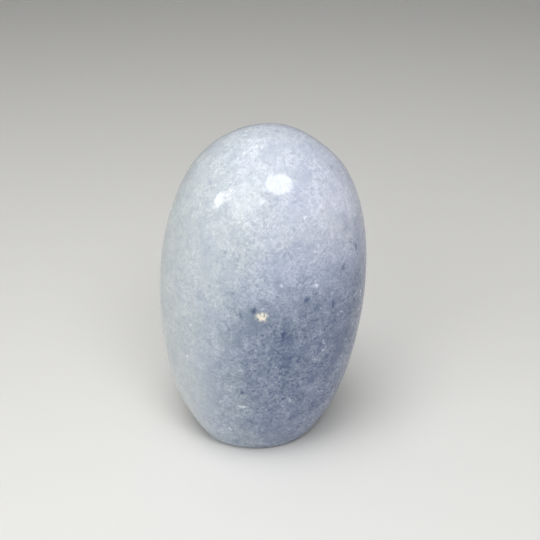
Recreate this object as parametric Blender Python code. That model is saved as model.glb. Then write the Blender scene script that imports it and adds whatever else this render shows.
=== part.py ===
"""A polished blue calcite freeform: one egg-shaped stone that stands on a small ground flat.

The stone is one solid. It starts as a sphere, which is drawn out to an egg, leaned over, and
ground as the cutter of the stone ground it: a few broad shallow flats round the sides, then the
flat that it rests on. X is the stone's width, Y its depth with the front at -Y, and Z is up.
The origin is on the table, under the middle of the stone.
"""

from math import cos, exp, log, radians, sin

import bmesh
import bpy
from mathutils import Vector

MM = 0.001

# The egg, before grinding
CROWN_HEIGHT = 127.0 * MM
HALF_HEIGHT = 68.8 * MM
HALF_WIDTH = 38.9 * MM
HALF_DEPTH = 32.7 * MM

# How much fuller the egg is near its top than an ellipsoid, and how square its shoulders are
TOP_FULLNESS = 0.078
SHOULDERS = 0.135

# Sideways travel for each metre of height, towards +X
LEAN = 0.043

# The broad flats: the turn from the front towards +X and the climb from level, both in degrees,
# and how deep the wheel cut into the egg there
FLATS = {
    "front face": (-12, 14, 0.7 * MM),
    "left, low": (-74, -29, 0.3 * MM),
    "left, middle": (-99, 18, 0.15 * MM),
    "right shoulder": (123, 47, 0.5 * MM),
    "back face": (168, 12, 1.3 * MM),
    "back, left": (-138, -16, 1.0 * MM),
    "back, right": (142, -8, 0.8 * MM),
}
FLAT_BLEND = 1.0 * MM

# How far the eased edge round the foot, the flat that the stone rests on, reaches up and in
FOOT_EASING = 1.2 * MM
EASING_STEPS = 3

COLUMNS = 72
ROWS = 52

PALE_BLUE = (0.50, 0.57, 0.66, 1.0)
POLISH_ROUGHNESS = 0.16
CALCITE_IOR = 1.6


def egg_point(direction):
    """The point of the leaned egg that a unit direction from its middle leads to."""
    fullness = 1.0 + TOP_FULLNESS * direction.z + SHOULDERS * direction.z**2
    height = CROWN_HEIGHT - HALF_HEIGHT + HALF_HEIGHT * direction.z
    across = HALF_WIDTH * fullness * direction.x + LEAN * height
    along = HALF_DEPTH * fullness * direction.y
    return Vector((across, along, height))


def facing(turn, climb):
    """The unit direction at a turn from the front towards +X and a climb from level."""
    turn, climb = radians(turn), radians(climb)
    return Vector((sin(turn) * cos(climb), -cos(turn) * cos(climb), sin(climb)))


def grind_flat(bm, outward, depth):
    """Grinds a flat that looks outward, and blends its rim into the sides."""
    reach = max(vertex.co.dot(outward) for vertex in bm.verts)
    for vertex in bm.verts:
        over = (vertex.co.dot(outward) - reach + depth) / FLAT_BLEND
        vertex.co -= outward * FLAT_BLEND * log(1.0 + exp(over))


def cut_foot(bm):
    """Cuts the butt of the egg off level with the table, closes it, and eases the edge."""
    everything = bm.verts[:] + bm.edges[:] + bm.faces[:]
    cut = bmesh.ops.bisect_plane(bm, geom=everything, plane_no=(0, 0, 1), clear_inner=True)
    rim = [part for part in cut["geom_cut"] if isinstance(part, bmesh.types.BMEdge)]
    bmesh.ops.holes_fill(bm, edges=rim)
    bmesh.ops.bevel(bm, geom=rim, offset=FOOT_EASING, segments=EASING_STEPS, affect="EDGES")


def centre_over_origin(bm):
    """Moves the stone sideways until the middle of its box is over the origin."""
    for axis in range(2):
        places = [vertex.co[axis] for vertex in bm.verts]
        middle = (min(places) + max(places)) / 2
        for vertex in bm.verts:
            vertex.co[axis] -= middle


def make_stone():
    """Builds the stone as one closed mesh."""
    bm = bmesh.new()
    bmesh.ops.create_uvsphere(bm, u_segments=COLUMNS, v_segments=ROWS, radius=1.0)
    for vertex in bm.verts:
        vertex.co = egg_point(vertex.co.normalized())
    for turn, climb, depth in FLATS.values():
        grind_flat(bm, facing(turn, climb), depth)
    cut_foot(bm)
    centre_over_origin(bm)
    bmesh.ops.recalc_face_normals(bm, faces=bm.faces)
    mesh = bpy.data.meshes.new("stone")
    bm.to_mesh(mesh)
    bm.free()
    mesh.shade_smooth()
    mesh.set_sharp_from_angle(angle=radians(40))
    return bpy.data.objects.new("stone", mesh)


def polished_calcite():
    """The plain finish of the whole stone."""
    material = bpy.data.materials.new("polished calcite")
    material.use_nodes = True
    shader = material.node_tree.nodes["Principled BSDF"]
    shader.inputs["Base Color"].default_value = PALE_BLUE
    shader.inputs["Roughness"].default_value = POLISH_ROUGHNESS
    shader.inputs["IOR"].default_value = CALCITE_IOR
    return material


def main():
    for leftover in list(bpy.data.objects):
        bpy.data.objects.remove(leftover)
    stone = make_stone()
    stone.data.materials.append(polished_calcite())
    bpy.context.scene.collection.objects.link(stone)


main()
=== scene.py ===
# %% [markdown]
# # A polished blue calcite freeform
#
# A freeform is a piece of rock that was sawn, ground and polished by hand, with no plan but the
# rock's own shape. This one is an egg of blue calcite, about as tall as a hand is wide across the
# knuckles and half again, that stands on a small ground flat. The lesson makes the smooth stone
# first, then the rock inside it, and last the plain studio where it stands.
#
# The imported model holds the plain solid of the stone. It is loaded first, because everything
# below is measured from it.

# %% The imported model
from math import cos, pi, radians, sin

import bmesh
import bpy
import numpy as np
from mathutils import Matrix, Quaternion, Vector, noise


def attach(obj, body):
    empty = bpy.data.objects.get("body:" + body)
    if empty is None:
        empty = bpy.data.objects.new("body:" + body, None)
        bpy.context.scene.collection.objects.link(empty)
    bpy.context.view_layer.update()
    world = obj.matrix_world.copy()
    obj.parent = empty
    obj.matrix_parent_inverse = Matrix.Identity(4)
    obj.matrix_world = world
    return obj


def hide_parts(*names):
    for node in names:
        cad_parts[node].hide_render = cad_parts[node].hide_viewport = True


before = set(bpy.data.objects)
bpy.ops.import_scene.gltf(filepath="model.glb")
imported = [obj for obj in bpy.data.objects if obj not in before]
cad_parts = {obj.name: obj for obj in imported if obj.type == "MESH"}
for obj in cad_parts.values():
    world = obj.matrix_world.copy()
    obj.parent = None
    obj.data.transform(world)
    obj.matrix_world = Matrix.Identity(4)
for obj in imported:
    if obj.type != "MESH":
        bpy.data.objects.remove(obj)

MM = 0.001
scene = bpy.context.scene
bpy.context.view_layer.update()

# %% [markdown]
# ## The camera
#
# The stone is seen a little from above, through a short telephoto lens from less than half a
# metre away. The climb of the view decides how much of the crown shows, and how wide the front
# edge of the foot curves. The camera looks at a point just above the stone's middle.

# %% The camera
VIEW_CLIMB = radians(27)
VIEW_DISTANCE = 397.3 * MM
LOOKS_AT = Vector((2.87, 0.0, 70.0)) * MM

camera = bpy.data.objects.new("camera", bpy.data.cameras.new("camera"))
scene.collection.objects.link(camera)
camera.data.lens = 70
camera.data.sensor_width = 36
camera.location = LOOKS_AT + VIEW_DISTANCE * Vector((0, -cos(VIEW_CLIMB), sin(VIEW_CLIMB)))
camera.rotation_euler = (pi / 2 - VIEW_CLIMB, 0, 0)
scene.camera = camera
scene.view_settings.view_transform = "Standard"
print("camera at, in mm:", [round(value / MM) for value in camera.location])

# %% [markdown]
# ## The surface to shape
#
# The real stone's skin is smooth all over, so it needs small faces of even size. A sphere with
# poles crowds them at its top, which is the very place that shines most. A cube whose faces are
# divided into a fine grid and then blown up to a ball has no poles. The tangent spreads the grid
# lines, which would otherwise crowd at the cube's corners.

# %% A ball of even squares
GRID_CUTS = 125


def even_ball():
    """A mesh of a cube cut into fine squares, and the direction each of its corners takes."""
    bm = bmesh.new()
    bmesh.ops.create_cube(bm, size=2.0)
    bmesh.ops.subdivide_edges(bm, edges=bm.edges[:], cuts=GRID_CUTS, use_grid_fill=True)
    mesh = bpy.data.meshes.new("stone_skin")
    bm.to_mesh(mesh)
    bm.free()
    corners = np.empty(3 * len(mesh.vertices))
    mesh.vertices.foreach_get("co", corners)
    spread = np.tan(corners.reshape(-1, 3) * pi / 4)
    return mesh, spread / np.linalg.norm(spread, axis=1, keepdims=True)


skin_mesh, directions = even_ball()
print("squares on the ball:", len(skin_mesh.polygons))

# %% [markdown]
# ## The egg
#
# Seen from the front the stone is an egg with a full top, and its middle line leans a little to
# the right on its way up. A formula is better than a sculpted form here: each direction from the
# middle leads to one point, and the same few sizes gave the solid its shape.

# %% The egg's form
CROWN_HEIGHT = 127.0 * MM
HALF_HEIGHT = 68.8 * MM
HALF_WIDTH = 38.9 * MM
HALF_DEPTH = 32.7 * MM
TOP_FULLNESS = 0.078
SHOULDERS = 0.135
LEAN = 0.043


def egg(directions):
    """The points of the leaned egg, one for each direction."""
    x, y, z = directions.T
    fullness = 1.0 + TOP_FULLNESS * z + SHOULDERS * z**2
    height = CROWN_HEIGHT - HALF_HEIGHT + HALF_HEIGHT * z
    return np.column_stack((HALF_WIDTH * fullness * x + LEAN * height, HALF_DEPTH * fullness * y, height))


points = egg(directions)

# %% [markdown]
# ## Ground flats
#
# A cutter holds the rock against a wheel, so the hand leaves broad shallow flats that the
# polishing only softens. They are what makes a freeform differ from a turned egg. Each one is a
# plane that looks outward: what stands in front of it is taken off, with a soft rim.

# %% The broad flats
FLATS = {
    "front face": (-12, 14, 0.7 * MM),
    "left, low": (-74, -29, 0.3 * MM),
    "left, middle": (-99, 18, 0.15 * MM),
    "right shoulder": (123, 47, 0.5 * MM),
    "back face": (168, 12, 1.3 * MM),
    "back, left": (-138, -16, 1.0 * MM),
    "back, right": (142, -8, 0.8 * MM),
}
FLAT_BLEND = 1.0 * MM


def facing(turn, climb):
    """The unit direction at a turn from the front towards +X and a climb from level, in degrees."""
    turn, climb = radians(turn), radians(climb)
    return np.array((sin(turn) * cos(climb), -cos(turn) * cos(climb), sin(climb)))


for turn, climb, depth in FLATS.values():
    outward = facing(turn, climb)
    reach = points @ outward
    over = (reach - reach.max() + depth) / FLAT_BLEND
    points -= np.outer(FLAT_BLEND * np.log1p(np.exp(over)), outward)
print("flats ground:", len(FLATS))

# %% [markdown]
# ## The foot
#
# The butt of the egg is cut off level, so that the stone stands. The points below the table are
# pressed up to it, and a soft step between pressed and free points eases the edge of the foot,
# as a few strokes on the wheel would.

# %% The foot
FOOT_EASING = 3.0 * MM

share = np.clip(0.5 + 0.5 * points[:, 2] / FOOT_EASING, 0.0, 1.0)
points[:, 2] = share * points[:, 2] + FOOT_EASING * share * (1.0 - share)
points[:, :2] -= (points[:, :2].min(axis=0) + points[:, :2].max(axis=0)) / 2
foot = points[points[:, 2] == 0.0]
print("foot, in mm:", np.round(np.ptp(foot, axis=0)[:2] / MM, 1))

# %% [markdown]
# ## The hand-polished skin
#
# No hand polishes evenly. Waves of a few hundredths of a millimetre are far too shallow to see
# in the outline, but they bend the edges of every reflection, so they are made in the mesh.
# Smooth noise gives them, and it only ever takes material away.

# %% Polishing waves
WAVE_LENGTH = 17 * MM
WAVE_DEPTH = 0.12 * MM

waves = np.array([noise.noise(Vector(point) / WAVE_LENGTH) for point in points])
outward = directions / np.array((HALF_WIDTH, HALF_DEPTH, HALF_HEIGHT))
outward /= np.linalg.norm(outward, axis=1, keepdims=True)
free = np.clip(points[:, 2] / (4 * MM), 0.0, 1.0)
points -= outward * (WAVE_DEPTH * (0.5 + 0.5 * waves) * free)[:, None]

skin_mesh.vertices.foreach_set("co", points.ravel())
skin_mesh.shade_smooth()
skin_mesh.update()
stone = bpy.data.objects.new("polished_stone", skin_mesh)
scene.collection.objects.link(stone)
print("skin, in mm:", np.round(np.ptp(points, axis=0) / MM, 2))

# %% [markdown]
# ## A bench for mixing the rock
#
# Blue calcite is a mass of grown-together crystals, clear and blue in some places and clouded
# with milk in others. The colour at a point on the skin is whatever crystal the wheel cut
# through there, so it should come from a solid pattern and not from a picture wrapped round the
# stone. Blender's textures are such solid patterns when they read the object's own coordinates.
# A few small helpers keep the recipe short: one adds a node and feeds it, the others do sums
# with numbers or with vectors, and turn a range of values into a soft step.

# %% Helpers for the rock's recipe
rock = bpy.data.materials.new("polished_blue_calcite")
rock.use_nodes = True
tree = rock.node_tree
shader = tree.nodes["Principled BSDF"]


def step(kind, fed, out=0, **settings):
    """Adds a node, feeds its sockets by name or number, and gives back one socket of its result."""
    node = tree.nodes.new("ShaderNode" + kind)
    for name, value in settings.items():
        setattr(node, name, value)
    for socket, value in fed.items():
        if isinstance(value, bpy.types.NodeSocket):
            tree.links.new(value, node.inputs[socket])
        else:
            node.inputs[socket].default_value = value
    return node.outputs[out]


def maths(operation, first, second=0.0):
    """One sum of two numbers or sockets."""
    return step("Math", {0: first, 1: second}, operation=operation)


def vectors(operation, first, second):
    """One sum of two vectors, or of a vector and a number for SCALE."""
    fed = {0: first, "Scale" if operation == "SCALE" else 1: second}
    return step("VectorMath", fed, operation=operation)


def between(value, low, high):
    """0 at low, 1 at high, and a soft step from one to the other."""
    fed = {"Value": value, "From Min": low, "From Max": high}
    return step("MapRange", fed, interpolation_type="SMOOTHSTEP")


def total(*shares):
    """The sum of several (amount, socket) pairs."""
    result = 0.0
    for amount, socket in shares:
        result = step("Math", {0: socket, 1: amount, 2: result}, operation="MULTIPLY_ADD")
    return result


# %% [markdown]
# ## Where a point is
#
# The patterns are measured in millimetres, so that a crystal of 2 is a crystal 2 mm across. Real
# crystals meet along crooked lines. Reading a pattern at a place that is pushed about a little
# by a noise bends all its lines, which costs less than making the pattern itself crooked.

# %% Places in the rock
place = vectors("SCALE", step("TexCoord", {}, out="Object"), 1 / MM)


def bent(place, size, by):
    """The place, pushed about by a noise of that size, by about that many millimetres."""
    push = step("TexNoise", {"Vector": place, "Scale": 1 / size, "Detail": 1.0}, out="Color")
    push = vectors("SUBTRACT", push, (0.5, 0.5, 0.5))
    return vectors("ADD", place, vectors("SCALE", push, by))


def cloud(place, size, detail=2.0):
    """A smooth noise with lumps of that size in millimetres, from about -1 to 1."""
    lumps = step("TexNoise", {"Vector": place, "Scale": 1 / size, "Detail": detail})
    return maths("MULTIPLY", maths("SUBTRACT", lumps, 0.5), 4.0)


def on_skin(turn, height):
    """The point of the skin, in millimetres, at a turn from the front and at a height."""
    ahead = points[:, :2] @ facing(turn, 0)[:2]
    aside = np.abs(points[:, :2] @ facing(turn + 90, 0)[:2]) + np.abs(points[:, 2] - height * MM)
    aside[ahead < 0] = np.inf
    return points[aside.argmin()] / MM


def patch(place, turn, height, half_width, half_height, core=0.25):
    """A soft spot on the skin: 1 in its core, and 0 from its rim on."""
    away = vectors("SUBTRACT", place, on_skin(turn, height))
    away = vectors("DIVIDE", away, (half_width, half_width, half_height))
    return between(step("VectorMath", {0: away}, out="Value", operation="LENGTH"), 1.0, core)


crooked = bent(bent(place, 6.0, 3.0), 1.4, 1.0)
print("nodes so far:", len(tree.nodes))

# %% [markdown]
# ## Milk and blue
#
# From across a room this stone is pale on its crown and its left side, and blue in the lower
# right. The pale crown is partly the milk of the rock and partly painted light. The one number
# that the whole recipe works towards is the rock's lightness, 0 for black and 1 for chalk. A bed
# of clearer rock lies slanted in the stone, so the lightness falls from the left side to the
# middle, and from the crown to the waist. Slow noise keeps the bed's bounds from looking drawn,
# and a few soft patches lighten or darken what the bed leaves too even. Two of them, on the
# crown, are painted light: they lighten the crown as the lamps overhead and their reflections do.

# %% The large zones
MILKY = 0.60
BED_BLUE = 0.35
BED_ACROSS = (-38, 5)
BED_UP = (104, 58)
ZONE_PATCHES_AND_PAINTED_LIGHT = {
    # The first two patches are painted light from the lamps overhead, not a colour of the rock.
    "painted light, crown's right": (62, 104, 22, 15, 0.10),
    "painted light, crown's front": (0, 118, 22, 10, 0.03),
    "above the foot": (5, 8, 34, 14, 0.07),
    "window, right": (23, 93, 6, 5, -0.07),
    "back, left": (-125, 80, 22, 30, -0.16),
    "back, low": (178, 30, 24, 18, 0.10),
}

wandering = bent(place, 20.0, 12.0)
across = step("SeparateXYZ", {0: wandering}, out="X")
up = step("SeparateXYZ", {0: wandering}, out="Z")
bed = maths("MULTIPLY", between(across, *BED_ACROSS), between(up, *BED_UP))
# The sum of the patches holds the painted light on the crown as well as the rock's own patches.
patches = total(*((strength, patch(wandering, *spot, 0.0)) for *spot, strength in ZONE_PATCHES_AND_PAINTED_LIGHT.values()))
ground = maths("ADD", total((-BED_BLUE, bed), (1.0, patches)), MILKY)

# %% [markdown]
# ## Clear windows and upright streaks
#
# Patches as wide as a finger nail are clearer and calmer than the rest, and most of them stand
# upright. A noise that is read with its heights squeezed gives shapes that stand. Where the rock
# is clear it has little grain, so the windows also tell how busy the fine detail may be.

# %% Streaks and windows
upright = vectors("MULTIPLY", bent(place, 12.0, 6.0), (1.0, 1.0, 0.45))
streaks = cloud(upright, 6.0)
mottling = cloud(crooked, 3.6)
window = between(cloud(upright, 8.0), 0.15, 0.85)
busy = maths("SUBTRACT", 1.0, maths("MULTIPLY", window, 0.6))

# %% [markdown]
# ## Crystals
#
# The grain of this rock is like coarse sugar. A Voronoi pattern divides space into cells as
# crystals divide it, and gives each cell a value of its own. Two sizes together look grown
# rather than tiled, and a sandy noise stands for what is finer still.

# %% Crystals
def crystals(place, size, out="Distance", **settings):
    """Cells of that size in millimetres: the distance to the cell's middle, or its own colour."""
    return step("TexVoronoi", {"Vector": place, "Scale": 1 / size}, out=out, **settings)


def own_value(place, size):
    """One value for each crystal of that size, from -1 to 1."""
    value = step("SeparateColor", {0: crystals(place, size, out="Color")})
    return maths("MULTIPLY", maths("SUBTRACT", value, 0.5), 2.0)


coarse_grain = own_value(crooked, 2.1)
fine_grain = own_value(crooked, 1.0)
sugar = cloud(crooked, 1.25)
sand = cloud(place, 0.62, detail=1.0)

# %% [markdown]
# ## The white web
#
# White threads run all through the rock, where crystals are bruised or full of tiny bubbles. A
# thread is where a noise crosses its middle value, so the distance from that value draws it.
# Patches of a slower noise gather the threads into tangles.

# %% Threads
def threads(place, size, width):
    """Thin white lines where a noise of that size crosses its middle value."""
    return between(maths("ABSOLUTE", cloud(place, size)), width, 0.0)


tangles = between(cloud(place, 7.0), -0.8, 0.6)
thread_web = total((0.6, threads(crooked, 2.3, 0.26)), (0.7, threads(crooked, 1.4, 0.34)))
web = maths("MULTIPLY", thread_web, tangles)

# %% [markdown]
# ## Flecks and dark grains
#
# Some crystals catch the light as white dots, and others are clear enough to look down into.
# A Voronoi pattern places both kinds. Only the cells with a high value of their own get a fleck,
# and only those with a low one get a dark grain.

# %% Flecks and dark grains
fleck_value = own_value(crooked, 2.6)
fleck_distance = crystals(crooked, 2.6)
flecks = maths("MULTIPLY", between(fleck_distance, 0.26, 0.05), between(fleck_value, 0.35, 0.9))
dark_grains = maths("MULTIPLY", between(fleck_distance, 0.34, 0.08), between(fleck_value, -0.45, -0.9))

# %% [markdown]
# ## Marks with a place of their own
#
# A few marks are so plain on the real stone that they are put where they belong: deep blue
# crystals, clear streaks, white bruises, and one cream fleck of another mineral in the middle of
# the front. Each is a soft patch read at a crooked place, which gives it a ragged rim.

# %% Listed marks
NAVY_CRYSTALS = [
    (14, 61, 1.3, 2.0), (46, 69, 1.2, 2.4), (28, 73, 1.6, 1.4), (-13, 35, 1.7, 1.3), (16, 31, 1.7, 1.0),
    (37, 45, 1.4, 2.2), (54, 82, 1.9, 2.4), (66, 87, 1.5, 2.2), (-5, 70, 2.0, 1.6), (-12, 69, 1.5, 1.6),
]
CLEAR_STREAKS = [
    (-11, 48, 3.6, 12.0), (15, 45, 3.4, 14.0), (44, 43, 3.0, 9.0), (18, 59, 4.0, 6.0), (-40, 75, 2.6, 4.0),
    (13, 89, 5.0, 4.0), (28, 82, 5.0, 4.0), (-44, 41, 1.8, 2.4),
]
WHITE_BRUISES = [
    (21, 29, 1.2, 2.0), (-15, 27, 2.6, 1.0), (71, 67, 1.2, 3.6), (34, 78, 1.3, 1.3), (41, 54, 1.4, 1.8),
    (-47, 60, 1.0, 1.0), (-52, 46, 1.0, 1.0), (-24, 35, 1.0, 1.0), (53, 64, 1.0, 1.0), (41, 51, 1.3, 1.0),
    (11, 80, 1.1, 1.4), (30, 103, 1.2, 1.0), (-30, 28, 1.0, 1.0), (43, 19, 1.2, 1.0), (-65, 27, 1.0, 1.2),
    (-28, 14, 1.0, 1.0),
]
CREAM_FLECK = (-1, 68, 2.9, 2.6)


def marks(spots, core=0.25):
    """The sum of soft patches with ragged rims, never over 1."""
    return maths("MINIMUM", total(*((1.0, patch(crooked, *spot, core)) for spot in spots)), 1.0)


navy = marks(NAVY_CRYSTALS)
clear = marks(CLEAR_STREAKS, core=0.0)
bruises = maths("MULTIPLY", marks(WHITE_BRUISES), between(sand, -0.9, 0.3))
cream = maths("MULTIPLY", marks([CREAM_FLECK]), between(cloud(place, 1.3), -0.6, 0.1))

# %% [markdown]
# ## From lightness to colour
#
# Everything that lightens or darkens the rock is added up. A colour ramp then gives each
# lightness the colour that this rock has at it: navy, steel blue, blue-grey, and a milk that is
# nearly white. Last, the hue drifts across the stone, from a trace of green at its left to a
# trace of lavender at its right.

# %% The rock's colour
broad = total((0.030, streaks), (0.022, mottling), (-0.035, window), (-0.07, clear), (-0.17, navy))
fine = total(
    (0.030, coarse_grain), (0.035, fine_grain), (0.055, sugar), (0.045, sand),
    (0.130, web), (0.18, flecks), (-0.10, dark_grains),
)
calm = maths("SUBTRACT", 1.0, maths("MULTIPLY", between(across, -8, -28), 0.35))
lightness = total((1.0, ground), (calm, broad), (maths("MULTIPLY", calm, busy), fine), (0.22, bruises))
lightness = maths("SUBTRACT", lightness, 0.03)

TONES = {
    0.08: (0.050, 0.085, 0.190),
    0.20: (0.145, 0.190, 0.285),
    0.32: (0.258, 0.312, 0.403),
    0.45: (0.388, 0.445, 0.545),
    0.60: (0.548, 0.600, 0.664),
    0.75: (0.705, 0.755, 0.810),
    0.92: (0.900, 0.915, 0.930),
}
CREAM = (0.86, 0.80, 0.68)
GREENISH = (1.000, 1.000, 0.925)
LAVENDER = (1.010, 0.985, 1.075)

ramp = tree.nodes.new("ShaderNodeValToRGB")
tree.links.new(lightness, ramp.inputs[0])
while len(ramp.color_ramp.elements) < len(TONES):
    ramp.color_ramp.elements.new(0.5)
for stop, (position, tone) in zip(ramp.color_ramp.elements, TONES.items()):
    stop.position = position
    stop.color = (*tone, 1.0)


def mixed(amount, first, second, how="MIX"):
    """Two colours laid over each other by an amount from 0 to 1; each a socket or three numbers."""
    fed = {0: amount, 6: first, 7: second}
    fed = {socket: (*value, 1.0) if isinstance(value, tuple) else value for socket, value in fed.items()}
    return step("Mix", fed, out=2, data_type="RGBA", blend_type=how)


drift = between(total((0.022, across), (0.30, cloud(place, 13.0))), -0.9, 0.9)
colour = mixed(1.0, ramp.outputs["Color"], mixed(drift, GREENISH, LAVENDER), "MULTIPLY")
colour = mixed(cream, colour, CREAM)
tree.links.new(colour, shader.inputs["Base Color"])

# %% [markdown]
# ## Polish and glow
#
# Calcite is soft, so its polish is good but not glass-like, and hard and soft crystals take it
# differently. The roughness follows the crystals, and a bump of a few thousandths of a
# millimetre makes bright reflections crawl a little at their rims. Light goes some millimetres
# into the rock and comes out again, which subsurface scattering gives.

# %% Polish and glow
GLOSS = 0.12
FOOT_MATTNESS = 0.35

foot_mask = between(step("SeparateXYZ", {0: place}, out="Z"), 0.25, 0.05)
roughness = total((0.035, coarse_grain), (0.030, sugar), (0.25, bruises), (FOOT_MATTNESS, foot_mask))
tree.links.new(maths("ADD", roughness, GLOSS), shader.inputs["Roughness"])
relief = total((0.4, coarse_grain), (0.6, sugar))
bump = step("Bump", {"Strength": 0.5, "Distance": 0.02 * MM, "Height": relief}, out="Normal")
tree.links.new(bump, shader.inputs["Normal"])
shader.inputs["IOR"].default_value = 1.6
shader.inputs["Subsurface Weight"].default_value = 0.30
shader.inputs["Subsurface Radius"].default_value = (0.8, 0.9, 1.0)
shader.inputs["Subsurface Scale"].default_value = 2.5 * MM
stone.data.materials.append(rock)
print("nodes in the rock's recipe:", len(tree.nodes))

# %% [markdown]
# ## The studio
#
# The stone stands on a white sheet that rises all round into a low wall, so that every side of
# it has the same plain ground behind. A profile spun about the upright axis makes the sheet.

# %% The sheet
SHEET_RADIUS = 1.1
SHEET_SWEEP = 0.5
SHEET_WALL = 0.6
SHEET_STEPS = 12
PAPER = (0.80, 0.795, 0.775, 1)


def white_sheet():
    """The floor and the wall that it rises into, as one spun profile."""
    bm = bmesh.new()
    bends = [radians(90) * step / SHEET_STEPS for step in range(SHEET_STEPS + 1)]
    profile = [(SHEET_RADIUS + SHEET_SWEEP * sin(bend), SHEET_SWEEP * (1 - cos(bend))) for bend in bends]
    profile = [(0.0, 0.0), *profile, (SHEET_RADIUS + SHEET_SWEEP, SHEET_SWEEP + SHEET_WALL)]
    rail = [bm.verts.new((x, 0, z)) for x, z in profile]
    edges = [bm.edges.new(pair) for pair in zip(rail, rail[1:])]
    bmesh.ops.spin(bm, geom=rail + edges, axis=(0, 0, 1), cent=(0, 0, 0), angle=2 * pi, steps=96, use_merge=True)
    bmesh.ops.remove_doubles(bm, verts=bm.verts, dist=MM / 10)
    bmesh.ops.recalc_face_normals(bm, faces=bm.faces)
    mesh = bpy.data.meshes.new("white_sheet")
    bm.to_mesh(mesh)
    bm.free()
    mesh.shade_smooth()
    return bpy.data.objects.new("white_sheet", mesh)


sheet = white_sheet()
scene.collection.objects.link(sheet)
paper = bpy.data.materials.new("matt paper")
paper.use_nodes = True
paper.node_tree.nodes["Principled BSDF"].inputs["Base Color"].default_value = PAPER
paper.node_tree.nodes["Principled BSDF"].inputs["Roughness"].default_value = 0.9
sheet.data.materials.append(paper)

# %% [markdown]
# ## The lamps
#
# A large softbox above and a little to the left does most of the work. Three smaller panels in
# front are the ones that the crown mirrors: a crisp one, a wide dim one and a small one, with a
# thin tube between. A panel is placed by its turn and climb, as seen from the stone.

# %% The lamps
LAMPS = {
    "overhead softbox": dict(turn=-26, climb=74, away=0.95, size=(0.50, 0.50), roll=0, power=4.2),
    "ceiling": dict(turn=0, climb=90, away=1.0, size=(1.16, 1.16), roll=0, power=2.2),
    "crisp panel": dict(turn=15.6, climb=45.2, away=0.9, size=(0.50, 0.36), roll=0, power=2.8),
    "wide panel": dict(turn=-28, climb=28, away=0.9, size=(0.42, 0.50), roll=47, power=2.0),
    "small panel": dict(turn=-55, climb=23.5, away=0.9, size=(0.26, 0.15), roll=-25, power=0.65),
    "tube": dict(turn=-31, climb=52, away=0.9, size=(0.30, 0.05), roll=15, power=0.12),
}
UNMIRRORED = "overhead softbox"
ROUND = ("crisp panel", "small panel")
AIM = Vector((0, 0, 80)) * MM

for name, lamp in LAMPS.items():
    light = bpy.data.lights.new(name, "AREA")
    light.shape = "ELLIPSE" if name in ROUND else "RECTANGLE"
    light.size, light.size_y = lamp["size"]
    light.energy = lamp["power"]
    holder = bpy.data.objects.new(name, light)
    towards = Vector(facing(lamp["turn"], lamp["climb"]))
    holder.location = AIM + lamp["away"] * towards
    roll = Quaternion((0, 0, 1), radians(lamp["roll"]))
    holder.rotation_euler = (towards.to_track_quat("Z", "Y") @ roll).to_euler()
    holder.visible_camera = False
    holder.visible_glossy = name != UNMIRRORED
    scene.collection.objects.link(holder)

world = bpy.data.worlds.new("world")
world.use_nodes = True
world.node_tree.nodes["Background"].inputs["Color"].default_value = (1.0, 1.0, 1.0, 1)
world.node_tree.nodes["Background"].inputs["Strength"].default_value = 0.03
scene.world = world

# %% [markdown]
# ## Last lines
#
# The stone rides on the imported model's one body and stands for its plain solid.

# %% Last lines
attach(stone, "root")
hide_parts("stone")
